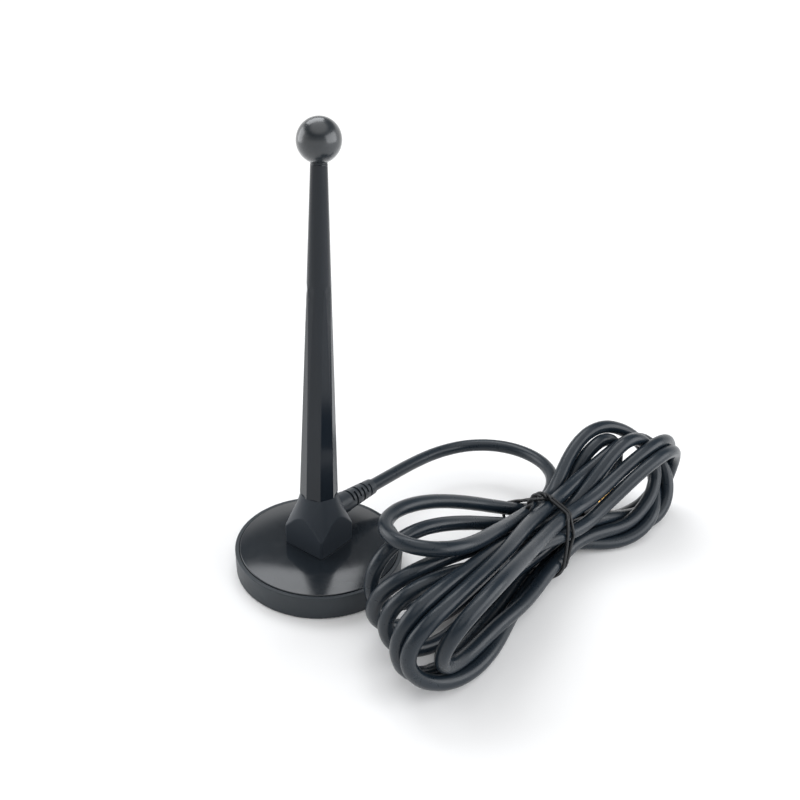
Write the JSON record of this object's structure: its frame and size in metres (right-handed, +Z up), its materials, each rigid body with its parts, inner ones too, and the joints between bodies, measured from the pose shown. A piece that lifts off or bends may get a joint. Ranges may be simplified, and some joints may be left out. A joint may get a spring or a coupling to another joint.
{
  "type": "magnetic mount cellular antenna",
  "caption": "Mobile-network antenna: tapered mast with a ball tip on a round magnet base, and a coaxial lead tied in a hank with a screw-on connector.",
  "frame": {"origin": "middle of the base's underside, on the surface it stands on", "axes": "+Z up the mast; seen along +Y the cable's hank lies to the right, towards +X"},
  "size_m": [0.2034, 0.1556, 0.1839],
  "materials": {
    "gloss_black": "gloss, moulded",
    "mast_black": "semi-gloss, moulded",
    "satin_black": "fine satin",
    "relief_black": "satin",
    "jacket_black": "smooth semi-gloss PVC jacket",
    "tie_black": "plastic-coated wire",
    "shrink_black": "satin",
    "pad_rubber": "matte",
    "ferrite": "sintered, matte",
    "plated_steel": "zinc plated",
    "spring_steel": "bright",
    "brass": "machined",
    "copper": "bare wire",
    "gold": "gold plated",
    "white_plastic": "natural",
    "gasket_red": "silicone"
  },
  "bodies": {
    "antenna": {"bottom_pad": "pad_rubber", "ring_magnet": "ferrite", "steel_cup": "plated_steel", "base_housing": "satin_black", "base_cover": "gloss_black", "mast_sleeve": "mast_black", "ball_tip": "gloss_black", "mast_insert": "brass", "feed_stud": "brass", "radiator_rod": "spring_steel", "coil_former": "white_plastic", "loading_coil": "copper", "strain_relief": "relief_black", "cable_root": "jacket_black", "inner_core": "white_plastic", "inner_conductor": "copper", "braid_clip": "brass", "cable_lead": "jacket_black", "cable_hank": "jacket_black", "cable_tail": "jacket_black", "twist_tie": "tie_black", "heat_shrink": "shrink_black", "crimp_ferrule": "gold", "connector_body": "gold", "insulator": "white_plastic", "contact_pin": "gold", "retaining_ring": "brass", "gasket": "gasket_red", "cover_screw_1": "spring_steel", "cover_screw_2": "spring_steel", "cover_screw_3": "spring_steel"},
    "nut": {"coupling_nut": "gold"}
  },
  "joints": [
    {"name": "coupling_nut_spin", "type": "hinge", "parent": "antenna", "child": "nut", "pos_m": [0.12712, 0.03062, 0.014], "axis": [0.7431, 0.6691, 0], "continuous": true}
  ]
}
